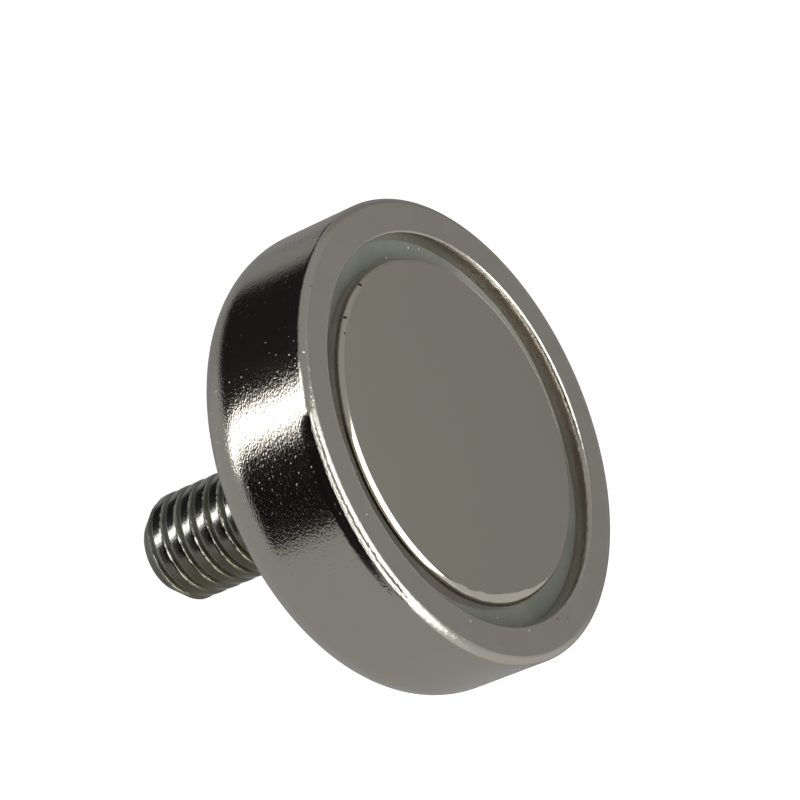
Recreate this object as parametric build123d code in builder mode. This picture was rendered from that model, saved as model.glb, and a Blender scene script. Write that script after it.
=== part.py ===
from build123d import *
import math
import os

os.makedirs("parts", exist_ok=True)

# Pot magnet with a threaded stud, in millimetres.
# A turned steel pot holds a neodymium disc in a bed of epoxy. Its open rim and the
# disc make the holding face. A stud with a flat head is pressed in through the
# pot's floor and stands out of its back.
#
# Frame: the origin is the centre of the pot's back, which seats on the panel.
# +Z points along the axis to the holding face, and the stud points along -Z.

# ---- Pot ----
pot_diameter = 25.0
pot_height = 8.0
rim_wall = 2.0               # steel between the bore and the outside
floor_thickness = 3.3        # steel under the magnet
back_edge_radius = 3.2       # large turned radius round the back
rim_outer_chamfer = 0.42     # tumbled edge round the holding face
rim_inner_chamfer = 0.15     # deburred mouth of the bore
bore_corner_chamfer = 0.3    # left by the tool at the bottom of the bore

# ---- Magnet and epoxy ----
epoxy_gap = 1.25             # radial gap between the magnet and the bore
magnet_recess = 0.2          # the magnet's face lies this far below the rim
magnet_front_chamfer = 0.35  # tumbled edge round the magnet's face
magnet_back_chamfer = 0.3    # edge that sits in the epoxy
epoxy_depth_at_magnet = 1.2  # below the rim, where the epoxy meets the magnet
epoxy_depth_at_bore = 1.0    # below the rim, where the epoxy meets the bore
epoxy_sag = 0.06             # hollow of its surface below a straight line

# ---- Stud ----
thread_diameter = 5.9        # M6 x 1, measured over its crests
thread_pitch = 1.0
thread_depth_ratio = 0.6134  # depth of a metric thread over its pitch
point_angle = 30.0           # of the point's cone, from the axis
stud_length = 12.0           # from the pot's back to the tip
shank_diameter = 6.6         # plain shank, pressed into the floor after the thread has passed
head_diameter = 9.0
head_thickness = 1.6
head_edge_chamfer = 0.2

# ---- Derived sizes ----
pot_radius = pot_diameter / 2
bore_radius = pot_radius - rim_wall
magnet_radius = bore_radius - epoxy_gap
magnet_top = pot_height - magnet_recess
magnet_thickness = magnet_top - floor_thickness
thread_radius = thread_diameter / 2
thread_depth = thread_depth_ratio * thread_pitch
point_length = thread_depth / math.tan(math.radians(point_angle))
point_radius = thread_radius - thread_depth
head_seat = floor_thickness - head_thickness

# ---- Pot: one turned cup ----
with BuildPart() as pot:
    with BuildSketch(Plane.XZ):
        with BuildLine():
            Polyline(
                (0, 0),
                (pot_radius, 0),
                (pot_radius, pot_height),
                (bore_radius, pot_height),
                (bore_radius, floor_thickness),
                (0, floor_thickness),
                close=True,
            )
        make_face()
    revolve(axis=Axis.Z)
    back_edge = pot.edges().filter_by(GeomType.CIRCLE).sort_by(Axis.Z)[0]
    fillet(back_edge, back_edge_radius)
    bore_corner = pot.edges().filter_by(GeomType.CIRCLE).filter_by_position(
        Axis.Z, floor_thickness, floor_thickness
    )
    chamfer(bore_corner, bore_corner_chamfer)
    rim_edges = pot.edges().filter_by(GeomType.CIRCLE).group_by(Axis.Z)[-1]
    chamfer(rim_edges.sort_by(SortBy.RADIUS)[-1], rim_outer_chamfer)
    rim_edges = pot.edges().filter_by(GeomType.CIRCLE).group_by(Axis.Z)[-1]
    chamfer(rim_edges.sort_by(SortBy.RADIUS)[0], rim_inner_chamfer)
    # The stud's shank passes through the floor, and its head sinks in level with it.
    with Locations((0, 0, floor_thickness)):
        CounterBoreHole(shank_diameter / 2, head_diameter / 2, head_thickness)
pot.part.label = "pot"

# ---- Stud: head, plain shank, threaded length and coned point ----
with BuildPart() as stud:
    with BuildSketch(Plane.XZ):
        with BuildLine():
            Polyline(
                (0, floor_thickness),
                (head_diameter / 2, floor_thickness),
                (head_diameter / 2, head_seat),
                (shank_diameter / 2, head_seat),
                (shank_diameter / 2, 0),
                (thread_radius, 0),
                (thread_radius, point_length - stud_length),
                (point_radius, -stud_length),
                (0, -stud_length),
                close=True,
            )
        make_face()
    revolve(axis=Axis.Z)
    head_edges = stud.edges().filter_by(GeomType.CIRCLE).group_by(Axis.Z)[-1]
    chamfer(head_edges, head_edge_chamfer)
stud.part.label = "stud"

# ---- Magnet: a pressed disc, its edges broken in front and behind ----
with BuildPart() as magnet:
    with BuildSketch(Plane.XY.offset(floor_thickness)):
        Circle(magnet_radius)
    extrude(amount=magnet_thickness)
    magnet_edges = magnet.edges().filter_by(GeomType.CIRCLE).sort_by(Axis.Z)
    chamfer(magnet_edges[-1], magnet_front_chamfer)
    chamfer(magnet_edges[0], magnet_back_chamfer)
magnet.part.label = "magnet"

# ---- Epoxy: fills the gap up to a hollow surface, and takes the form of both walls ----
epoxy_inner = (magnet_radius, pot_height - epoxy_depth_at_magnet)
epoxy_outer = (bore_radius, pot_height - epoxy_depth_at_bore)
epoxy_middle = (
    (epoxy_inner[0] + epoxy_outer[0]) / 2,
    (epoxy_inner[1] + epoxy_outer[1]) / 2 - epoxy_sag,
)
epoxy_root = magnet_radius - magnet_back_chamfer

with BuildPart() as epoxy:
    with BuildSketch(Plane.XZ):
        with BuildLine():
            ThreePointArc(epoxy_inner, epoxy_middle, epoxy_outer)
            Polyline(
                epoxy_outer,
                (bore_radius, floor_thickness),
                (epoxy_root, floor_thickness),
                (epoxy_root, epoxy_inner[1]),
                epoxy_inner,
            )
        make_face()
    revolve(axis=Axis.Z)
    add(pot.part, mode=Mode.SUBTRACT)
    add(magnet.part, mode=Mode.SUBTRACT)
epoxy.part.label = "epoxy_ring"

export_step(pot.part, "parts/pot.step")
export_step(stud.part, "parts/stud.step")
export_step(magnet.part, "parts/magnet.step")
export_step(epoxy.part, "parts/epoxy_ring.step")
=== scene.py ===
"""Looks of a pot magnet with a threaded stud: fine forms, plated finishes, studio and camera.

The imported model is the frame. Sizes are in metres in the model's own frame: the origin is the
centre of the pot's back, +Z points to the holding face, and the stud points along -Z.
"""

import functools
import logging
import math
import operator
from dataclasses import dataclass
from enum import Enum
from typing import Any, Callable, ClassVar, Sequence

import bmesh
import bpy
import numpy as np
from mathutils import Matrix, Vector


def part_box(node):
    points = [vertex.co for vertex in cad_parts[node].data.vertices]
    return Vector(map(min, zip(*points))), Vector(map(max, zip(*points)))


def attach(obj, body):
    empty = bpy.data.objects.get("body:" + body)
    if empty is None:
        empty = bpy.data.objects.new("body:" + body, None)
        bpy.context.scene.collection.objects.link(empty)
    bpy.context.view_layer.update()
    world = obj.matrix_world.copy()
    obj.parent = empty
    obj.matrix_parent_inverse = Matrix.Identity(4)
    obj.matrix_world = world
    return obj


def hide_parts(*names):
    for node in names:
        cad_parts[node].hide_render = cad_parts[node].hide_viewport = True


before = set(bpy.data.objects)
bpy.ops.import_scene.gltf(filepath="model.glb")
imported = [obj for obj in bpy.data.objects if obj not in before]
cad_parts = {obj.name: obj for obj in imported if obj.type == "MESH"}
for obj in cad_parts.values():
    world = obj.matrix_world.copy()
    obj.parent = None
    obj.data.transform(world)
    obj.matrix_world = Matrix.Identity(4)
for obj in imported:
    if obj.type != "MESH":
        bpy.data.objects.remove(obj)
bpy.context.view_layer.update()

LOG = logging.getLogger("pot_magnet")
MM = 0.001
WELD = 1e-7  # points nearer than this are one point
SHARP_TURN = math.radians(38.0)  # faces of a turned piece that meet at more have a hard edge
DISC_WIDER = 0.05 * MM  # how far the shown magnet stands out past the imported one's side
DISC_LOWER = 0.07 * MM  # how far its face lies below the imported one's
MIX_GAP = (None,) * 5  # the Mix node's inputs for numbers and vectors
WORN_AND_SHADED_SIDE = Vector((0.131, -0.991, 0.0))  # the way the most worn edges face, where the magnet's painted shade is darkest

Colour = tuple[float, float, float]
Grid = np.ndarray  # a row for each point of a section, a column for each direction
Relief = Callable[[Grid, Grid, Grid], tuple[Grid, Grid]]
Span = tuple[float, float]  # where a smooth change starts and where it ends


class Slot(Enum):
    """The record's material slots, one named by each turned piece."""

    POT = "pot_plating"
    MAGNET = "magnet_plating"
    EPOXY = "epoxy"
    STUD = "stud_plating"


class Hand(Enum):
    """Which way a thread climbs towards +Z as it turns counter-clockwise about +Z."""

    RIGHT = 1.0
    LEFT = -1.0


# ---- node trees


@dataclass(frozen=True)
class Sock:
    """One output socket of a node tree, with arithmetic that adds the nodes it needs."""

    tree: "Tree"
    socket: bpy.types.NodeSocket

    def _math(self, operation: str, *values: Any) -> "Sock":
        """Adds a Math node, whose inputs are numbers or Socks, and gives its result."""
        return self.tree.node("ShaderNodeMath", {"operation": operation}, *values).out()

    def __add__(self, other: Any) -> "Sock":
        """Adds a number or a Sock."""
        return self._math("ADD", self, other)

    def __sub__(self, other: Any) -> "Sock":
        """Takes away a number or a Sock."""
        return self._math("SUBTRACT", self, other)

    def __rsub__(self, other: Any) -> "Sock":
        """Takes this from a number."""
        return self._math("SUBTRACT", other, self)

    def __mul__(self, other: Any) -> "Sock":
        """Multiplies by a number or a Sock."""
        return self._math("MULTIPLY", self, other)

    def __truediv__(self, other: Any) -> "Sock":
        """Divides by a number or a Sock."""
        return self._math("DIVIDE", self, other)

    def __abs__(self) -> "Sock":
        """Gives the size without the sign."""
        return self._math("ABSOLUTE", self)

    def root(self) -> "Sock":
        """Gives the square root."""
        return self._math("SQRT", self)

    def cos(self) -> "Sock":
        """Gives the cosine of an angle in radians."""
        return self._math("COSINE", self)

    def sin(self) -> "Sock":
        """Gives the sine of an angle in radians."""
        return self._math("SINE", self)

    def fraction(self) -> "Sock":
        """Gives the part after the whole number below."""
        return self._math("FRACT", self)

    def smaller(self, other: Any, rounding: float = 0.0) -> "Sock":
        """Gives the smaller of two values, rounded over where they lie within the rounding."""
        return self._pick("MIN", other, rounding)

    def larger(self, other: Any, rounding: float = 0.0) -> "Sock":
        """Gives the larger of two values, rounded over where they lie within the rounding."""
        return self._pick("MAX", other, rounding)

    def _pick(self, which: str, other: Any, rounding: float) -> "Sock":
        """Adds a Math node for the MIN or MAX of two values, and gives its result."""
        name, extra = (f"SMOOTH_{which}", [rounding]) if rounding else (f"{which}IMUM", [])
        return self._math(name, self, other, *extra)

    def step(self, low: float, high: float) -> "Sock":
        """Rises smoothly from 0 at low to 1 at high; with low above high it falls."""
        settings = {"interpolation_type": "SMOOTHSTEP", "clamp": True}
        return self.tree.node("ShaderNodeMapRange", settings, self, low, high, 0.0, 1.0).out()

    def mixed(self, low: float, high: float) -> "Sock":
        """Turns a 0 to 1 mask into a value that runs from low to high."""
        return self * (high - low) + low


@dataclass(frozen=True)
class Node:
    """A node that was just added, ready to hand on its outputs."""

    tree: "Tree"
    node: bpy.types.Node

    def out(self, name: str | int = 0) -> Sock:
        """Gives an output by its name or its place in the list."""
        return Sock(self.tree, self.node.outputs[name])


class Tree:
    """A node tree that is written as expressions."""

    def __init__(self, nodes: bpy.types.NodeTree) -> None:
        """Empties a node tree and takes it over."""
        self.tree = nodes
        self.tree.nodes.clear()

    def node(self, kind: str, settings: dict[str, Any] | None = None, *values: Any,
             **named: Any) -> Node:
        """Adds a node.

        Args:
            kind: the node's type.
            settings: its own settings, which are set before its inputs.
            values: values or Socks for its first inputs, in order; None leaves one as it is.
            named: values or Socks for inputs by name, with _ for a space.

        Returns:
            The new node.
        """
        node = self.tree.nodes.new(kind)
        for name, value in (settings or {}).items():
            setattr(node, name, value)
        inputs = list(zip(node.inputs, values))
        inputs += [(node.inputs[name.replace("_", " ")], value) for name, value in named.items()]
        for socket, value in inputs:
            if isinstance(value, Sock):
                self.tree.links.new(value.socket, socket)
            elif value is not None:
                socket.default_value = value
        return Node(self, node)

    def vector(self, x: Any, y: Any, z: Any) -> Sock:
        """Joins three numbers or Socks into a vector."""
        return self.node("ShaderNodeCombineXYZ", None, x, y, z).out()

    def axes(self, vector: Sock) -> tuple[Sock, Sock, Sock]:
        """Splits a vector into its three parts."""
        split = self.node("ShaderNodeSeparateXYZ", None, vector)
        return split.out(0), split.out(1), split.out(2)

    def dot(self, vector: Sock, fixed: Vector) -> Sock:
        """Gives the length of a vector along a fixed direction."""
        settings = {"operation": "DOT_PRODUCT"}
        return self.node("ShaderNodeVectorMath", settings, vector, tuple(fixed)).out("Value")

    def blend(self, mask: Any, first: Any, second: Any) -> Sock:
        """Mixes two colours or Socks; the mask is 0 for the first and 1 for the second."""
        colours = [(*c, 1.0) if isinstance(c, tuple) else c for c in (first, second)]
        return self.node("ShaderNodeMix", {"data_type": "RGBA"}, mask, *MIX_GAP, *colours).out(2)

    def noise(self, where: Sock, scale: float, detail: float = 2.0,
              roughness: float = 0.5) -> Sock:
        """Adds smooth noise.

        Args:
            where: the coordinates that the noise is read at.
            scale: how many waves a metre holds.
            detail: how many finer layers are laid over it.
            roughness: how strong those layers are.

        Returns:
            A value around 0.5.
        """
        return self.node("ShaderNodeTexNoise", {"noise_dimensions": "3D"}, Vector=where,
                         Scale=scale, Detail=detail, Roughness=roughness).out()

    def spots(self, where: Sock, cell: float, size: float, share: float) -> Sock:
        """Scatters small round spots, one in some of the cells of a random grid.

        Args:
            where: the coordinates that the spots are placed in.
            cell: how far apart the cells are.
            size: the radius of a spot.
            share: the share of the cells that hold a spot.

        Returns:
            1 inside a spot, 0 outside.
        """
        cells = self.node("ShaderNodeTexVoronoi", {"feature": "F1"}, Vector=where,
                          Scale=1.0 / cell, Randomness=1.0)
        pick = self.axes(cells.out("Color"))[0]
        near = cells.out("Distance").step(size / cell, 0.6 * size / cell)
        return near * pick.step(share, 0.9 * share)


# ---- finishes


@dataclass(frozen=True)
class Place:
    """Where a shaded point lies on a round piece; around has a length of 1 round the axis."""

    tree: Tree
    point: Sock
    radius: Sock
    height: Sock
    around: Sock

    @classmethod
    def on(cls, tree: Tree) -> "Place":
        """Reads the place from the object's own coordinates.

        Args:
            tree: the material's tree.

        Returns:
            The place.
        """
        point = tree.node("ShaderNodeTexCoord").out("Object")
        x, y, z = tree.axes(point)
        radius = (x * x + y * y).root()
        around = tree.vector(x / radius, y / radius, 0.0)
        return cls(tree, point, radius, z, around)


@dataclass(frozen=True)
class Surface:
    """What a finish gives its shader; the height is that of the relief."""

    colour: Sock
    roughness: Any
    height: Sock


@dataclass(frozen=True)
class Finish:
    """What every finish has."""

    metallic: ClassVar[float] = 1.0
    name: str
    tint: Colour
    roughness: float

    def surface(self, place: Place) -> Surface:
        """Adds the nodes that describe the surface at a place."""
        raise NotImplementedError

    def material(self) -> bpy.types.Material:
        """Builds the material.

        Returns:
            A new material with this finish.
        """
        material = bpy.data.materials.new(self.name)
        material.use_nodes = True
        tree = Tree(material.node_tree)
        surface = self.surface(Place.on(tree))
        bump = tree.node("ShaderNodeBump", None, Strength=1.0, Distance=1.0,
                         Height=surface.height)
        shader = tree.node("ShaderNodeBsdfPrincipled", None, Base_Color=surface.colour,
                           Metallic=self.metallic, Roughness=surface.roughness,
                           Normal=bump.out())
        tree.node("ShaderNodeOutputMaterial", None, shader.out())
        return material


@dataclass(frozen=True)
class Mark:
    """A small flaw at a known place on the holding face.

    Angles are in degrees counter-clockwise from +X, seen from the face's side.
    """

    radius: float
    angle: float
    size: float

    def mask(self, place: Place) -> Sock:
        """Gives 1 on the mark and 0 off it.

        Args:
            place: where the shaded point lies.

        Returns:
            The mark's mask.
        """
        turn = math.radians(self.angle)
        x, y, _ = place.tree.axes(place.point)
        east = x - self.radius * math.cos(turn)
        north = y - self.radius * math.sin(turn)
        return (east * east + north * north).root().step(self.size, 0.5 * self.size)


def marks(*rows: tuple[float, float, float]) -> tuple[Mark, ...]:
    """Makes marks from radii in millimetres, angles in degrees and sizes in millimetres."""
    return tuple(Mark(radius * MM, angle, size * MM) for radius, angle, size in rows)


def all_marks(place: Place, some: Sequence[Mark]) -> Sock:
    """Joins the masks of at least one mark, so that any of them gives 1."""
    return functools.reduce(Sock.larger, (mark.mask(place) for mark in some))


@dataclass(frozen=True)
class PotNickel(Finish):
    """Bright nickel over turned and tumbled steel: grainy on the barrel, satin on the rim.

    Spans of place start at the holding face, or at the pot's or the bore's wall.
    """

    pot_radius: float
    pot_height: float
    bore_radius: float
    specks: tuple[Mark, ...]
    pits: tuple[Mark, ...]
    rim_roughness: float = 0.24
    grain: float = 0.15 * MM
    grain_squeeze: float = 1.7
    grain_depth: float = 0.012 * MM
    rim_depth: float = 0.0016 * MM
    cloud: float = 1.3 * MM
    cloud_roughness: float = 0.05
    cloud_span: Span = (-0.3, 1.3)
    tool_waves: float = 55.0 / MM
    tool_depth: float = 0.0012 * MM
    drag_turns: float = 56.0
    drag_width: float = 0.07 * MM
    drag_sway: float = 0.46 * MM
    face_span: Span = (-0.03 * MM, -0.005 * MM)
    edge_depth: float = 0.014 * MM
    edge_down: Span = (-0.55 * MM, -0.30 * MM)
    rim_span: Span = (-0.50 * MM, -0.42 * MM)
    mouth_span: Span = (0.22 * MM, 0.12 * MM)
    bore_span: Span = (0.03 * MM, 0.0)
    bore_down: Span = (-0.2 * MM, -0.3 * MM)
    burr_depth: float = 0.17 * MM
    burr_side: Span = (-0.11 * MM, 0.11 * MM)
    burr_fade: Span = (1.0 * MM, 0.2 * MM)
    burr_turn: Span = (0.903, 0.950)
    pimple_cell: float = 0.26 * MM
    pimple_radius: float = 0.065 * MM
    pimple_share: float = 0.35
    pimple_height: float = 0.004 * MM
    pimple_span: Span = (0.3, 0.0)
    speck_height: float = 0.012 * MM
    dull_tint: Colour = (0.6117, 0.5794, 0.5094)
    bore_tint: Colour = (0.62, 0.57, 0.52)
    speck_tint: Colour = (0.95, 0.93, 0.88)
    speck_cover: float = 0.8
    pit_tint: Colour = (0.10, 0.09, 0.08)
    pit_cover: float = 0.85

    def surface(self, place: Place) -> Surface:
        """Adds the plated surface.

        Args:
            place: where the shaded point lies.

        Returns:
            The surface.
        """
        tree = place.tree
        face = (place.height - self.pot_height).step(*self.face_span)
        edge = self.edges(place)
        x, y, z = tree.axes(place.point)
        grained = tree.vector(x, y, z * self.grain_squeeze)
        grain = tree.noise(grained, 1.0 / self.grain, 1.0)
        cloud = tree.noise(place.point, 1.0 / self.cloud)
        x, y, _ = tree.axes(place.around)
        turned = tree.vector(x, y, place.radius * self.tool_waves)
        lines = tree.noise(turned, 1.0, 3.0, 0.7)
        dragged = tree.vector(x * self.drag_turns, y * self.drag_turns,
                              (place.radius - place.height) / self.drag_width)
        drag = tree.noise(dragged, 1.0, 2.0, 0.6)
        pimples = tree.spots(place.point, self.pimple_cell, self.pimple_radius,
                             self.pimple_share)
        speck = all_marks(place, self.specks)
        depth = (face + edge).smaller(1.0).mixed(self.grain_depth, self.rim_depth)
        height = grain * depth + lines * face * self.tool_depth + speck * self.speck_height
        bumpy = (face + edge).step(*self.pimple_span)
        height = height + pimples * bumpy * self.pimple_height
        height = height + drag * edge * self.edge_depth - self.burr(place, drag)
        colour = tree.blend(cloud.step(*self.cloud_span), self.dull_tint, self.tint)
        colour = tree.blend(speck * self.speck_cover, colour, self.speck_tint)
        pit = all_marks(place, self.pits)
        colour = tree.blend(pit * self.pit_cover, colour, self.pit_tint)
        colour = tree.blend(self.bore(place), colour, self.bore_tint)
        rough = face.mixed(self.roughness, self.rim_roughness)
        return Surface(colour, rough + (cloud - 0.5) * self.cloud_roughness, height)

    def edges(self, place: Place) -> Sock:
        """Finds the two broken edges of the rim.

        Args:
            place: where the shaded point lies.

        Returns:
            1 on them and 0 elsewhere.
        """
        outer = (place.radius - self.pot_radius).step(*self.rim_span)
        inner = (place.radius - self.bore_radius).step(*self.mouth_span)
        return outer.larger(inner) * (place.height - self.pot_height).step(*self.edge_down)

    def burr(self, place: Place, drag: Sock) -> Sock:
        """Finds the ragged dent that tumbling left along the worn side's outer edge.

        It has a steep side on the edge itself and runs out slowly down the outside.

        Args:
            place: where the shaded point lies.
            drag: the noise that makes the steep side ragged.

        Returns:
            The dent's depth.
        """
        across = place.radius - place.height - (self.pot_radius - self.pot_height)
        off = across + (drag - 0.5) * self.drag_sway
        near = place.tree.dot(place.around, WORN_AND_SHADED_SIDE).step(*self.burr_turn)
        dent = off.step(*self.burr_side) * across.step(*self.burr_fade)
        return dent * near * self.burr_depth

    def bore(self, place: Place) -> Sock:
        """Gives 1 on the duller wall of the bore and 0 elsewhere."""
        inside = (place.radius - self.bore_radius).step(*self.bore_span)
        return inside * (place.height - self.pot_height).step(*self.bore_down)


@dataclass(frozen=True)
class DiscNickel(Finish):
    """Smooth nickel on the magnet: chips near the face's edge, a duller side and painted shade.
    """

    top: float
    chips: tuple[Mark, ...]
    grain: float = 0.11 * MM
    grain_depth: float = 0.0009 * MM
    cloud: float = 2.4 * MM
    cloud_depth: float = 0.004 * MM
    cloud_roughness: float = 0.08
    side_drop: float = 0.25 * MM
    side_sway: float = 0.06 * MM
    side_edge: float = 0.03 * MM
    side_roughness: float = 0.15
    # a band of painted shade on the side just below the rounding
    shade_band_width: float = 0.17 * MM
    shade_band_edge: float = 0.02 * MM
    shade_band_turn: Span = (0.88, 0.95)
    shade_band_least: float = 0.55
    chip_tint: Colour = (0.02, 0.02, 0.018)
    side_tint: Colour = (0.62, 0.55, 0.53)
    shade_band_tint: Colour = (0.07, 0.065, 0.05)

    def surface(self, place: Place) -> Surface:
        """Adds the plated surface.

        Args:
            place: where the shaded point lies.

        Returns:
            The surface.
        """
        tree = place.tree
        grain = tree.noise(place.point, 1.0 / self.grain)
        cloud = tree.noise(place.point, 1.0 / self.cloud)
        ragged = place.height + (grain - 0.5) * self.side_sway
        high = self.top - self.side_drop
        low = high - self.shade_band_width
        side = ragged.step(high, high - self.side_edge)
        # painted shade: a dark band on the side below the rounding, full on one side of the disc
        # and weaker elsewhere
        shade_band_side = tree.dot(place.around, WORN_AND_SHADED_SIDE).step(*self.shade_band_turn)
        wear_and_shade = side * ragged.step(low - self.shade_band_edge, low + self.shade_band_edge)
        wear_and_shade = wear_and_shade * shade_band_side.mixed(self.shade_band_least, 1.0)
        colour = tree.blend(all_marks(place, self.chips), self.tint, self.chip_tint)
        colour = tree.blend(side, colour, self.side_tint)
        colour = tree.blend(wear_and_shade, colour, self.shade_band_tint)
        rough = (cloud - 0.5) * self.cloud_roughness + self.roughness
        return Surface(colour, rough + side * self.side_roughness,
                       grain * self.grain_depth + cloud * self.cloud_depth)


@dataclass(frozen=True)
class StudNickel(Finish):
    """Nickel over a rolled thread, with painted shade: darker in the grooves and towards +X."""

    groove_radius: float
    side_shade_tint: Colour = (0.17, 0.165, 0.12)
    side_shade_span: Span = (-1.2 * MM, 1.6 * MM)
    groove_span: Span = (0.06 * MM, -0.04 * MM)
    groove_shade_tint: Colour = (0.08, 0.08, 0.065)
    groove_shade_cover: float = 0.5
    groove_roughness: float = 0.25
    grain: float = 0.12 * MM
    grain_depth: float = 0.006 * MM
    grain_roughness: float = 0.1
    cloud: float = 1.6 * MM
    cloud_sway: float = 2.0 * MM

    def surface(self, place: Place) -> Surface:
        """Adds the plated surface.

        Args:
            place: where the shaded point lies.

        Returns:
            The surface.
        """
        tree = place.tree
        grain = tree.noise(place.point, 1.0 / self.grain, 2.0, 0.6)
        cloud = tree.noise(place.point, 1.0 / self.cloud)
        side = tree.axes(place.point)[0] + (cloud - 0.5) * self.cloud_sway
        # painted shade: the thread's grooves and the +X side of the stud are darkened
        groove = (place.radius - self.groove_radius).step(*self.groove_span)
        colour = tree.blend(side.step(*self.side_shade_span), self.tint, self.side_shade_tint)
        colour = tree.blend(groove * self.groove_shade_cover, colour, self.groove_shade_tint)
        rough = (grain - 0.5) * self.grain_roughness + self.roughness
        return Surface(colour, rough + groove * self.groove_roughness, grain * self.grain_depth)


@dataclass(frozen=True)
class PottingEpoxy(Finish):
    """Glossy grey-green epoxy with a little dust in it."""

    metallic: ClassVar[float] = 0.0
    dust: tuple[Mark, ...]
    dark_specks: tuple[Mark, ...]
    dull_tint: Colour = (0.1054, 0.11305, 0.09265)
    dust_tint: Colour = (0.50, 0.50, 0.44)
    dust_cover: float = 0.7
    dark_tint: Colour = (0.02, 0.02, 0.02)
    dark_cover: float = 0.9
    cloud: float = 1.8 * MM
    cloud_span: Span = (0.3, 0.75)
    cloud_depth: float = 0.02 * MM
    dust_height: float = 0.02 * MM

    def surface(self, place: Place) -> Surface:
        """Adds the resin.

        Args:
            place: where the shaded point lies.

        Returns:
            The surface.
        """
        tree = place.tree
        cloud = tree.noise(place.point, 1.0 / self.cloud)
        dust, dark = all_marks(place, self.dust), all_marks(place, self.dark_specks)
        colour = tree.blend(cloud.step(*self.cloud_span), self.dull_tint, self.tint)
        colour = tree.blend(dust * self.dust_cover, colour, self.dust_tint)
        colour = tree.blend(dark * self.dark_cover, colour, self.dark_tint)
        return Surface(colour, self.roughness, cloud * self.cloud_depth + dust * self.dust_height)


# ---- turned meshes


@dataclass
class Section:
    """A half-section that is turned about Z; each point is a radius and a height."""

    points: list[tuple[float, float]]

    def line(self, radius: float, height: float, steps: int = 1) -> None:
        """Runs straight from the last point to a radius and a height, in one or more parts."""
        run = np.linspace(self.points[-1], (radius, height), steps + 1)[1:]
        self.points += [tuple(point) for point in run]

    def arc(self, centre: tuple[float, float], out: float, up: float, start: float, end: float,
            steps: int) -> None:
        """Runs along a part of an ellipse that starts at the last point.

        Args:
            centre: the ellipse's centre, as a radius and a height.
            out: how far the ellipse reaches outwards.
            up: how far it reaches upwards.
            start: the start's direction in degrees, with 0 outwards and 90 up.
            end: the end's direction in degrees.
            steps: how many parts the arc has.
        """
        for turn in np.radians(np.linspace(start, end, steps + 1)[1:]):
            self.points.append((centre[0] + out * math.cos(turn),
                                centre[1] + up * math.sin(turn)))

    def turned(self, name: str, segments: int, closed: bool,
               relief: Relief | None = None) -> bpy.types.Object:
        """Turns the section into a smooth-shaded mesh with its faces turned outwards.

        Points that meet are welded.

        Args:
            name: the new object's name.
            segments: how many parts a full turn has.
            closed: whether the last point joins the first.
            relief: gives what is added to the radius and height of each point at each angle.

        Returns:
            The new object, linked to the scene.
        """
        radius, height = (np.array(column)[:, None] for column in zip(*self.points))
        angle = np.linspace(0.0, math.tau, segments, endpoint=False)[None, :]
        out, up = relief(radius, height, angle) if relief else (0.0, 0.0)
        radius, height = radius + out, height + up
        points = np.stack(np.broadcast_arrays(radius * np.cos(angle), radius * np.sin(angle),
                                              height), axis=-1)
        here = np.arange(len(self.points) * segments).reshape(-1, segments)
        above = np.roll(here, -1, axis=0)
        corners = [here, np.roll(here, -1, axis=1), np.roll(above, -1, axis=1), above]
        faces = np.stack(corners, axis=-1)[:None if closed else -1].reshape(-1, 4)
        mesh = bpy.data.meshes.new(name)
        mesh.from_pydata(points.reshape(-1, 3).tolist(), [], faces.tolist())
        work = bmesh.new()
        work.from_mesh(mesh)
        bmesh.ops.remove_doubles(work, verts=work.verts, dist=WELD)
        bmesh.ops.recalc_face_normals(work, faces=work.faces)
        work.to_mesh(mesh)
        work.free()
        mesh.shade_smooth()
        mesh.set_sharp_from_angle(angle=SHARP_TURN)
        piece = bpy.data.objects.new(name, mesh)
        bpy.context.scene.collection.objects.link(piece)
        return piece


@dataclass(frozen=True)
class Waver:
    """A smooth random waver round a ring, made of cosines with fixed random phases."""

    seed: int
    lowest: int
    highest: int
    size: float

    def at(self, angle: np.ndarray) -> np.ndarray:
        """Gives the waver at each angle.

        Args:
            angle: angles in radians.

        Returns:
            Values whose spread is about the waver's size.
        """
        draw = np.random.default_rng(self.seed)
        orders = np.arange(self.lowest, self.highest + 1)
        phases = draw.uniform(0.0, math.tau, len(orders))
        weights = draw.normal(size=len(orders)) / math.sqrt(0.5 * len(orders))
        waves = [w * np.cos(k * angle + p) for k, p, w in zip(orders, phases, weights)]
        return self.size * sum(waves)


def finish_piece(piece: bpy.types.Object, material: bpy.types.Material,
                 node: str) -> None:
    """Dresses a piece and ties it to the frame.

    Args:
        piece: a finished mesh object.
        material: its only material.
        node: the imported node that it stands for.
    """
    piece.data.materials.clear()
    piece.data.materials.append(material)
    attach(piece, "root")
    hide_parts(node)
    LOG.info("%s: %d faces, stands for node %s", piece.name, len(piece.data.polygons), node)


# ---- the pieces


@dataclass
class TurnedPiece:
    """A round piece that is turned from its half-section and then made a little uneven."""

    name: ClassVar[str]
    node: ClassVar[str]
    slot: ClassVar[Slot]
    closed: ClassVar[bool] = True
    segments: ClassVar[int] = 512

    def section(self) -> Section:
        """Gives the piece's half-section."""
        raise NotImplementedError

    def relief(self, radius: Grid, height: Grid, angle: Grid) -> tuple[Grid, Grid]:
        """Gives what is added to the radius and height of each point to make it uneven."""
        raise NotImplementedError

    def build(self, finish: Finish) -> None:
        """Builds the piece and dresses it in a finish."""
        piece = self.section().turned(self.name, self.segments, self.closed, self.relief)
        finish_piece(piece, finish.material(), self.node)


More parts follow.
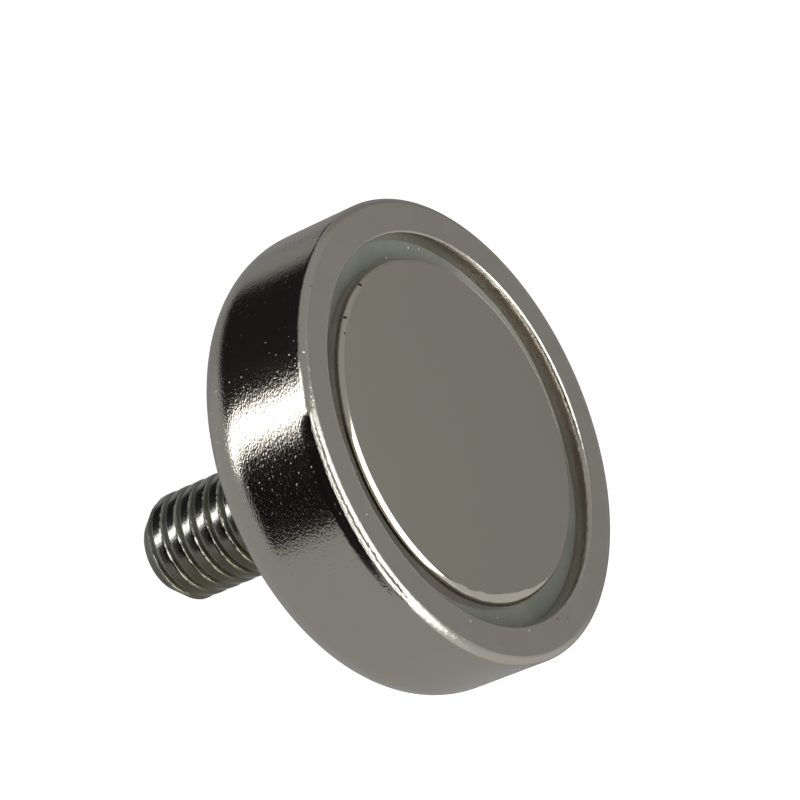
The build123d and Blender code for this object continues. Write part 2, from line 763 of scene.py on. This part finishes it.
@dataclass
class PotShell(TurnedPiece):
    """The turned steel pot: a cup with a large back radius and a tumbled rim."""

    name = "pot_shell"
    node = "pot"
    slot = Slot.POT
    segments = 720
    radius: float
    height: float
    bore_radius: float
    back_radius: float = 3.2 * MM
    rim_round_out: float = 0.45 * MM
    rim_round_down: float = 0.40 * MM
    mouth_out: float = 0.17 * MM
    mouth_down: float = 0.11 * MM
    mouth_turn: float = 72.0
    mouth_band: float = 0.1 * MM
    mouth_drop: float = 0.3
    lead_out: float = 0.045 * MM
    lead_down: float = 0.15 * MM
    floor: float = 3.3 * MM
    bore_corner: float = 0.3 * MM
    shank_radius: float = 3.3 * MM
    head_radius: float = 4.5 * MM
    head_seat: float = 1.7 * MM
    hole_break: float = 0.12 * MM
    face_margin: float = 0.02 * MM
    rim_rough: Waver = Waver(11, 60, 300, 0.002 * MM)
    rim_slow: Waver = Waver(13, 2, 9, 0.008 * MM)
    mouth_ragged: Waver = Waver(12, 30, 260, 0.004 * MM)

    def section(self) -> Section:
        """Gives the closed section, from the hole for the shank out and round to it again.

        Returns:
            The section.
        """
        top, wall, back = self.height, self.radius, self.back_radius
        rim = (wall - self.rim_round_out, top - self.rim_round_down)
        mouth = (self.bore_radius + self.mouth_out, top - self.mouth_down)
        section = Section([(self.shank_radius, self.hole_break)])
        section.line(self.shank_radius + self.hole_break, 0.0)
        section.line(wall - back, 0.0, 10)
        section.arc((wall - back, back), back, back, -90.0, 0.0, 20)
        section.line(wall, rim[1], 12)
        section.arc(rim, self.rim_round_out, self.rim_round_down, 0.0, 90.0, 14)
        section.line(mouth[0] + self.face_margin, top, 8)
        section.line(mouth[0], top)
        section.arc(mouth, self.mouth_out - self.lead_out, self.mouth_down,
                    90.0, 90.0 + self.mouth_turn, 7)
        section.line(self.bore_radius, mouth[1] - self.lead_down, 3)
        section.line(self.bore_radius, self.floor + self.bore_corner, 6)
        section.line(self.bore_radius - self.bore_corner, self.floor)
        section.line(self.head_radius, self.floor)
        section.line(self.head_radius, self.head_seat)
        section.line(self.shank_radius, self.head_seat)
        return section

    def relief(self, radius: Grid, height: Grid, angle: Grid) -> tuple[Grid, Grid]:
        """Makes the tumbled edges uneven.

        Args:
            radius: the section's radii, one a row.
            height: the section's heights, one a row.
            angle: the angles, one a column.

        Returns:
            What is added to the radius and to the height.
        """
        top = self.height
        edge = np.clip((height - (top - self.rim_round_down)) / self.rim_round_down, 0.0, 1.0)
        outside = (radius > self.radius - self.rim_round_out - WELD) * edge * (1.0 - edge) * 4.0
        across = (radius - self.bore_radius - 0.5 * self.mouth_out) / self.mouth_band
        mouth = np.exp(-across ** 2) * (height > top - 2.0 * self.mouth_down)
        ragged = self.mouth_ragged.at(angle)
        out = outside * (self.rim_rough.at(angle) + self.rim_slow.at(angle)) + mouth * ragged
        return out, -self.mouth_drop * mouth * np.abs(ragged)


@dataclass
class MagnetDisc(TurnedPiece):
    """The plated disc magnet, rounded round its face and worn along a part of its edge.

    The worn land is land_width wide times its shares at the directions land_turns, in degrees.
    """

    name = "magnet_disc"
    node = "magnet"
    slot = Slot.MAGNET
    closed = False
    radius: float
    top: float
    bottom: float
    round_in: float = 0.28 * MM
    round_down: float = 0.36 * MM
    round_margin: float = 0.01 * MM
    land_width: float = 0.54 * MM
    land_slope: float = 0.36
    land_turns: tuple[float, ...] = (-56.0, -34.0, -16.0, -2.0, 32.0)
    land_shares: tuple[float, ...] = (0.0, 0.72, 1.0, 1.0, 0.0)
    land_margin: float = 0.16 * MM
    land_depth: float = 1.0 * MM
    back_chamfer: float = 0.3 * MM
    rough: Waver = Waver(21, 40, 200, 0.001 * MM)
    slow: Waver = Waver(22, 2, 12, 0.005 * MM)
    land_ragged: Waver = Waver(23, 8, 60, 0.05)

    def section(self) -> Section:
        """Gives the open section, from the middle of the face round to the middle behind.

        Returns:
            The section.
        """
        corner = self.radius - self.round_in
        section = Section([(0.0, self.top)])
        section.line(self.radius - self.land_width - self.land_margin, self.top, 14)
        section.line(corner - self.round_margin, self.top, 16)
        section.line(corner, self.top)
        section.arc((corner, self.top - self.round_down), self.round_in, self.round_down,
                    90.0, 0.0, 16)
        section.line(self.radius, self.bottom + self.back_chamfer, 6)
        section.line(self.radius - self.back_chamfer, self.bottom)
        section.line(0.0, self.bottom)
        return section

    def relief(self, radius: Grid, height: Grid, angle: Grid) -> tuple[Grid, Grid]:
        """Makes the rounded edge slightly uneven, with a sloping, worn land along a part of it.

        Args:
            radius: the section's radii, one a row.
            height: the section's heights, one a row.
            angle: the angles, one a column.

        Returns:
            What is added to the radius and to the height.
        """
        depth = np.clip((self.top - height) / self.round_down, 0.0, 1.0)
        band = depth * (1.0 - depth) * 4.0 * (radius > 0.5 * self.radius)
        turn = (np.degrees(angle) + 180.0) % 360.0 - 180.0
        wear_and_shade = np.interp(turn, self.land_turns, self.land_shares)
        wear_and_shade = wear_and_shade * (1.0 + self.land_ragged.at(angle)) * self.land_width
        land = np.clip(radius - self.radius + wear_and_shade, 0.0, None) * self.land_slope
        out = band * (self.rough.at(angle) + self.slow.at(angle))
        return out, -land * (height > self.top - self.land_depth)


@dataclass
class EpoxyBed(TurnedPiece):
    """The epoxy between the magnet and the bore, with a hollow, uneven surface."""

    name = "epoxy_bed"
    node = "epoxy_ring"
    slot = Slot.EPOXY
    inner_radius: float
    outer_radius: float
    outer_top: float
    bottom: float
    inner_drop: float = 0.20 * MM
    sag: float = 0.06 * MM
    root_chamfer: float = 0.3 * MM
    wall_run: float = 0.3 * MM
    surface_steps: int = 24
    level: Waver = Waver(31, 2, 6, 0.03 * MM)
    waves: Waver = Waver(32, 4, 14, 0.006 * MM)

    def section(self) -> Section:
        """Gives the closed section, over the hollow surface and back below it.

        Returns:
            The section.
        """
        part = np.linspace(0.0, 1.0, self.surface_steps + 1)
        radii = self.inner_radius + (self.outer_radius - self.inner_radius) * part
        hollow = self.inner_drop * (1.0 - part) + 4.0 * self.sag * part * (1.0 - part)
        section = Section(list(zip(radii, self.outer_top - hollow)))
        section.line(self.outer_radius, self.bottom + self.root_chamfer, 3)
        section.line(self.outer_radius - self.root_chamfer, self.bottom)
        section.line(self.inner_radius - self.root_chamfer, self.bottom)
        section.line(self.inner_radius, self.bottom + self.root_chamfer)
        section.line(self.inner_radius, self.outer_top - self.inner_drop - self.wall_run, 3)
        return section

    def relief(self, radius: Grid, height: Grid, angle: Grid) -> tuple[Grid, Grid]:
        """Makes the surface rise and fall round the ring.

        Args:
            radius: the section's radii, one a row.
            height: the section's heights, one a row.
            angle: the angles, one a column.

        Returns:
            What is added to the radius and to the height.
        """
        part = np.interp(radius, (self.inner_radius, self.outer_radius), (0.0, 1.0))
        surface = height > self.outer_top - self.inner_drop - 2.0 * self.sag
        waves = self.waves.at(angle) * np.sin(math.pi * part)
        up = surface * (self.level.at(angle) * part + waves)
        return np.zeros_like(up), up


@dataclass
class ThreadedStud:
    """The stud: a rolled thread with a coned point, a plain shank and a flat head."""

    length: float
    head_radius: float
    head_top: float
    crest_radius: float = 2.95 * MM
    pitch: float = 1.0 * MM
    depth: float = 0.44 * MM
    crest_width: float = 0.62 * MM
    crest_slope: float = 0.03 * MM
    crest_rounding: float = 0.02 * MM
    root_rounding: float = 0.02 * MM
    bevel_width: float = 0.07 * MM
    bevel_slope: float = 0.53
    bevel_grain: float = 0.22 * MM
    flank_angle: float = 30.0
    point_radius: float = 2.2 * MM
    point_angle: float = 36.0
    lean: float = 0.08 * MM
    bunching: float = 0.8
    run_out: float = 0.9 * MM
    crest_start: float = -0.12 * MM
    hand: Hand = Hand.RIGHT
    shank_radius: float = 3.3 * MM
    shank_break: float = 0.1 * MM
    head_seat: float = 1.7 * MM
    head_chamfer: float = 0.2 * MM
    segments: int = 200
    rows_per_pitch: int = 34
    sharp_turn: float = 50.0

    def head(self) -> bpy.types.Object:
        """Turns the shank and the head, open where the thread joins on.

        Returns:
            Their object, which the thread is wound on to.
        """
        section = Section([(self.crest_radius, 0.0)])
        section.line(self.shank_radius - self.shank_break, 0.0)
        section.line(self.shank_radius, self.shank_break)
        section.line(self.shank_radius, self.head_seat, 4)
        section.line(self.head_radius, self.head_seat)
        section.line(self.head_radius, self.head_top - self.head_chamfer)
        section.line(self.head_radius - self.head_chamfer, self.head_top)
        section.line(0.0, self.head_top)
        return section.turned("threaded_stud", self.segments, False)

    def sizes(self) -> dict[str, float | int]:
        """Gives the thread tree's inputs.

        Returns:
            Each input's value by its name.
        """
        plain = ("crest_radius", "pitch", "length", "depth", "crest_width", "crest_slope",
                 "bevel_width", "bevel_slope", "point_radius", "lean", "run_out",
                 "crest_start", "segments", "rows_per_pitch")
        sizes = {name.replace("_", " ").title(): getattr(self, name) for name in plain}
        turns = math.ceil(self.length / self.pitch) + 2
        return sizes | {
            "Bevel Waves": self.crest_radius / self.bevel_grain,
            "Flank Slope": 1.0 / math.tan(math.radians(self.flank_angle)),
            "Point Slope": math.tan(math.radians(self.point_angle)),
            "Bunching": self.bunching / (4.0 * math.pi),
            "Hand": self.hand.value,
            "Rows": self.rows_per_pitch * turns + 2,
        }

    def thread_tree(self, material: bpy.types.Material) -> bpy.types.NodeTree:
        """Builds the tree that winds the thread on to the shank and head it is given.

        A grid has one column for each direction round the axis, and its rows climb one pitch
        in a turn, so that they follow the crests, and lie closest at the crests' two edges.
        Points past either end are held at it.

        Args:
            material: what the result is made of.

        Returns:
            The Geometry Nodes tree, with named inputs for its sizes.
        """
        nodes = bpy.data.node_groups.new("thread", "GeometryNodeTree")
        tree = Tree(nodes)
        nodes.interface.new_socket("Geometry", in_out="INPUT", socket_type="NodeSocketGeometry")
        for name, value in self.sizes().items():
            kind = "NodeSocketInt" if isinstance(value, int) else "NodeSocketFloat"
            nodes.interface.new_socket(name, in_out="INPUT", socket_type=kind)
        nodes.interface.new_socket("Geometry", in_out="OUTPUT", socket_type="NodeSocketGeometry")
        given = tree.node("NodeGroupInput")
        size = {name: given.out(name) for name in self.sizes()}
        grid = tree.node("GeometryNodeMeshGrid", None, 1.0, 1.0, size["Segments"] + 1,
                         size["Rows"] + 1)
        x, y, _ = tree.axes(tree.node("GeometryNodeInputPosition").out())
        turn, row = x + 0.5, (y + 0.5) * size["Rows"]
        step = (row - 1.0) / size["Rows Per Pitch"]
        step = step - (step * (2.0 * math.tau)).sin() * size["Bunching"]  # two waves a pitch
        edge = size["Crest Start"] + size["Crest Width"] / 2.0
        climb = (step + turn - 2.0) * size["Pitch"] + edge
        height = (climb - size["Length"]).smaller(0.0).larger(size["Length"] * -1.0)
        angle = turn * size["Hand"] * math.tau
        along = tree.vector(angle.cos(), angle.sin(), height / size["Crest Radius"])
        ragged = tree.noise(along, size["Bevel Waves"], 1.0).step(0.3, 0.7) - 0.5
        ragged = ragged * (angle.cos().step(0.1, -0.3) + 0.5)
        radius = self.thread_radius(size, height, turn, ragged) * row.step(0.25, 0.75)
        aside = (height / size["Run Out"]).step(0.0, -1.0) * size["Lean"]
        place = tree.vector(radius * angle.cos() + aside, radius * angle.sin(), height)
        wound = tree.node("GeometryNodeSetPosition", None, grid.out(), Position=place)
        joined = tree.node("GeometryNodeJoinGeometry", None, wound.out())
        tree.tree.links.new(given.node.outputs["Geometry"], joined.node.inputs[0])
        welded = tree.node("GeometryNodeMergeByDistance", None, joined.out(), Distance=1e-6)
        real = tree.node("GeometryNodeRealizeInstances", None, welded.out())
        dressed = tree.node("GeometryNodeSetMaterial", None, real.out(), Material=material)
        tree.node("NodeGroupOutput", None, dressed.out())
        return nodes

    def thread_radius(self, size: dict[str, Sock], height: Sock, turn: Sock,
                      ragged: Sock) -> Sock:
        """Gives the thread's radius at a height and a turn.

        Args:
            size: the tree's inputs.
            height: the height along the stud.
            turn: how far round the axis, from 0 to 1.
            ragged: how much steeper the bevel is there, as a share of its slope.

        Returns:
            The radius.
        """
        phase = (height - size["Crest Start"]) / size["Pitch"] - turn * size["Hand"] + 0.5
        beside = (phase.fraction() - 0.5) * size["Pitch"]
        tilt = (beside / size["Crest Width"] - 0.5).smaller(0.0)
        crest = size["Crest Radius"] - tilt * tilt * size["Crest Slope"]
        drop = (abs(beside) - size["Crest Width"] / 2.0) * size["Flank Slope"]
        bevel = beside - size["Crest Width"] / 2.0 + size["Bevel Width"]
        bevel = bevel * size["Bevel Slope"] * (ragged + 1.0)
        radius = (crest - bevel).smaller(crest, self.crest_rounding)
        radius = (crest - drop).smaller(radius, self.crest_rounding)
        radius = radius.larger(crest - size["Depth"], self.root_rounding)
        plain = (height / size["Run Out"] + 1.0).step(0.0, 1.0)
        radius = radius + (size["Crest Radius"] - radius) * plain
        cone = (height + size["Length"]) * size["Point Slope"] + size["Point Radius"]
        return radius.smaller(cone)

    def build(self, finish: Finish) -> None:
        """Builds and dresses the stud.

        Args:
            finish: its plating.
        """
        material = finish.material()
        piece = self.head()
        wound = piece.modifiers.new("thread", "NODES")
        wound.node_group = self.thread_tree(material)
        sizes = self.sizes()
        for item in wound.node_group.interface.items_tree:
            if item.name in sizes:
                wound[item.identifier] = sizes[item.name]
        shaped = piece.evaluated_get(bpy.context.evaluated_depsgraph_get())
        mesh = bpy.data.meshes.new_from_object(shaped)
        piece.modifiers.remove(wound)
        piece.data = mesh
        mesh.shade_smooth()
        mesh.set_sharp_from_angle(angle=math.radians(self.sharp_turn))
        finish_piece(piece, material, "stud")


# ---- studio and camera


def rotation(*turns: tuple[float, str]) -> Matrix:
    """Joins turns in degrees, each about one of the turned thing's own axes."""
    steps = [Matrix.Rotation(math.radians(turn), 4, axis) for turn, axis in turns]
    return functools.reduce(operator.matmul, steps)


@dataclass(frozen=True)
class Panel:
    """A soft light or a dark flag far round the object: a flat rectangle seen from its middle.

    Angles are in degrees. The azimuth runs counter-clockwise from +X, and the elevation up
    from the horizon; together they give the direction that the flat faces. Its sides lie left,
    right, low and high of that direction. The level is how bright it is, the edge how soft.
    """

    azimuth: float
    elevation: float
    left: float
    right: float
    low: float
    high: float
    level: float
    edge: float = 3.0
    roll: float = 0.0

    def mask(self, tree: Tree, direction: Sock) -> Sock:
        """Gives 1 in the patch and 0 outside it.

        Args:
            tree: the world's tree.
            direction: the direction that is looked in.

        Returns:
            The patch's mask.
        """
        aim = rotation((self.azimuth, "Z"), (-self.elevation, "Y"), (self.roll, "X"))
        ahead, side, up = aim.to_3x3().col
        depth = tree.dot(direction, ahead)
        mask = depth.step(0.0, 0.02)
        for axis, first, last in ((side, self.left, self.right), (up, self.low, self.high)):
            across = tree.dot(direction, axis) / depth
            for limit, turn in ((first, 1.0), (last, -1.0)):
                out, into = (math.tan(math.radians(limit + turn * part))
                             for part in (-self.edge, self.edge))
                mask = mask * across.step(out, into)
        return mask


@dataclass
class Studio:
    """A plain pale floor and soft surroundings with lit panels and dark flags."""

    ground: float
    room: float = 0.335
    floor_size: float = 3.0
    floor_shade: float = 0.12
    floor_glow: float = 0.97
    panels: tuple[Panel, ...] = (
        Panel(90.0, 5.0, -55.0, 55.0, -30.0, 29.0, 0.22, 10.0),
        Panel(118.0, -33.0, -30.0, 30.0, -30.0, 35.0, 0.257, 8.0),
        Panel(20.0, 20.0, -48.0, 48.0, -34.0, 34.0, 0.50, 8.0),
        Panel(352.0, 15.0, -16.0, 20.0, -26.0, 32.0, 0.64, 6.0),
        Panel(25.0, 55.5, -10.0, 45.0, -1.8, 1.8, 0.03, 0.8),
        Panel(190.0, -22.0, -35.0, 30.0, -30.0, 22.5, 0.014),
        Panel(142.5, -23.3, -16.0, 22.0, -2.0, 5.0, 0.014, 1.0, 33.0),
        Panel(262.0, -12.0, -19.5, 23.0, -35.0, 40.0, 0.007),
        Panel(307.0, -12.0, -34.0, 30.0, 0.0, 40.0, 0.007, 2.0, 43.0),
        Panel(302.8, 35.4, -21.4, 82.0, -43.0, 47.1, 0.03, 1.5, 72.0),
        Panel(302.8, 35.4, -19.4, 80.0, -41.0, 45.1, 2.6, 1.5, 72.0),
        Panel(228.2, -30.0, -6.6, 5.4, -24.0, 30.0, 3.2, 3.0, 14.0),
    )

    def light(self) -> None:
        """Sets up the world that lights the object and shows in its plating."""
        world = bpy.data.worlds.new("studio")
        world.use_nodes = True
        bpy.context.scene.world = world
        tree = Tree(world.node_tree)
        direction = tree.node("ShaderNodeTexCoord").out("Generated")
        level: Any = self.room
        for panel in self.panels:
            mask = panel.mask(tree, direction)
            level = mask * (panel.level - level) + level
        sky = tree.node("ShaderNodeBackground", None, Color=(1.0, 1.0, 1.0, 1.0), Strength=level)
        tree.node("ShaderNodeOutputWorld", None, sky.out())

    def lay_floor(self) -> None:
        """Lays the floor that the stud's tip stands on, which the plating doesn't mirror."""
        half = 0.5 * self.floor_size
        corners = [(-half, -half), (half, -half), (half, half), (-half, half)]
        mesh = bpy.data.meshes.new("floor")
        mesh.from_pydata([(x, y, self.ground) for x, y in corners], [], [(0, 1, 2, 3)])
        floor = bpy.data.objects.new("floor", mesh)
        bpy.context.scene.collection.objects.link(floor)
        material = bpy.data.materials.new("pale_paper")
        material.use_nodes = True
        tree = Tree(material.node_tree)
        paper = tree.node("ShaderNodeBsdfPrincipled", None, Roughness=1.0,
                          Base_Color=(*[self.floor_shade] * 3, 1.0), Specular_IOR_Level=0.0,
                          Emission_Color=(1.0, 1.0, 1.0, 1.0), Emission_Strength=self.floor_glow)
        tree.node("ShaderNodeOutputMaterial", None, paper.out())
        mesh.materials.append(material)
        for ray in ("glossy", "diffuse", "transmission", "shadow"):
            setattr(floor, f"visible_{ray}", False)


@dataclass
class StudioCamera:
    """A long lens that looks down on the holding face from one side, rolled to the right.

    Angles are in degrees, and the view's azimuth is 0 when it looks along +Y.
    """

    target: Vector
    lens: float = 180.0
    sensor: float = 36.0
    elevation: float = 32.976
    roll: float = 66.583
    distance: float = 202.0 * MM
    target_right: float = 3.233 * MM
    target_down: float = 1.379 * MM

    def place(self) -> None:
        """Adds the camera and makes it the scene's own."""
        lens = bpy.data.cameras.new("studio_camera")
        lens.lens, lens.sensor_width = self.lens, self.sensor
        lens.clip_start = 10.0 * MM
        camera = bpy.data.objects.new("studio_camera", lens)
        aim = rotation((90.0 - self.elevation, "X"), (self.roll, "Z"))
        back = Vector((-self.target_right, self.target_down, self.distance))
        camera.matrix_world = Matrix.Translation(self.target) @ aim @ Matrix.Translation(back)
        bpy.context.scene.collection.objects.link(camera)
        bpy.context.scene.camera = camera


def main() -> None:
    """Builds the pieces round the frame, then the studio and the camera."""
    logging.basicConfig(level=logging.INFO, format="%(name)s: %(message)s")
    bpy.context.scene.view_settings.view_transform = "Standard"
    pot_high, magnet_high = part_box("pot")[1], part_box("magnet")[1]
    magnet_low, epoxy_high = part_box("magnet")[0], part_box("epoxy_ring")[1]
    stud_low, stud_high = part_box("stud")
    specks = marks((12.33, -122.1, 0.07), (12.07, -117.9, 0.05), (12.20, -113.3, 0.05),
                   (12.16, -110.2, 0.08), (11.28, -80.5, 0.05), (10.94, -36.5, 0.06),
                   (10.78, -10.2, 0.07))
    pits = marks((12.16, -140.6, 0.06), (11.51, -24.3, 0.05), (11.17, 9.4, 0.06),
                 (10.85, 5.0, 0.08))
    PotShell(pot_high.x, pot_high.z, epoxy_high.x).build(
        PotNickel("pot_nickel", (0.645, 0.61, 0.54), 0.12, pot_high.x, pot_high.z, epoxy_high.x,
                  specks, pits))
    chips = marks((9.16, -160.2, 0.12), (9.19, -143.3, 0.10), (9.08, -137.0, 0.07))
    disc_radius, disc_top = magnet_high.x + DISC_WIDER, magnet_high.z - DISC_LOWER
    MagnetDisc(disc_radius, disc_top, magnet_low.z).build(
        DiscNickel("disc_nickel", (0.68, 0.645, 0.55), 0.12, disc_top, chips))
    dust = marks((10.25, 159.0, 0.07), (10.35, 154.0, 0.06), (9.6, 171.0, 0.06),
                 (9.7, -14.0, 0.06))
    dark = marks((10.4, 116.0, 0.07))
    EpoxyBed(disc_radius, epoxy_high.x, epoxy_high.z, magnet_low.z).build(
        PottingEpoxy("potting_epoxy", (0.124, 0.133, 0.109), 0.2, dust, dark))
    # the stud's tint is darker than the pot's nickel: painted shade
    ThreadedStud(-stud_low.z, stud_high.x, stud_high.z).build(
        StudNickel("stud_nickel", (0.47, 0.475, 0.42), 0.17, 2.80 * MM))
    studio = Studio(stud_low.z)
    studio.light()
    studio.lay_floor()
    StudioCamera(Vector((0.0, 0.0, pot_high.z))).place()


if __name__ == "__main__":
    main()
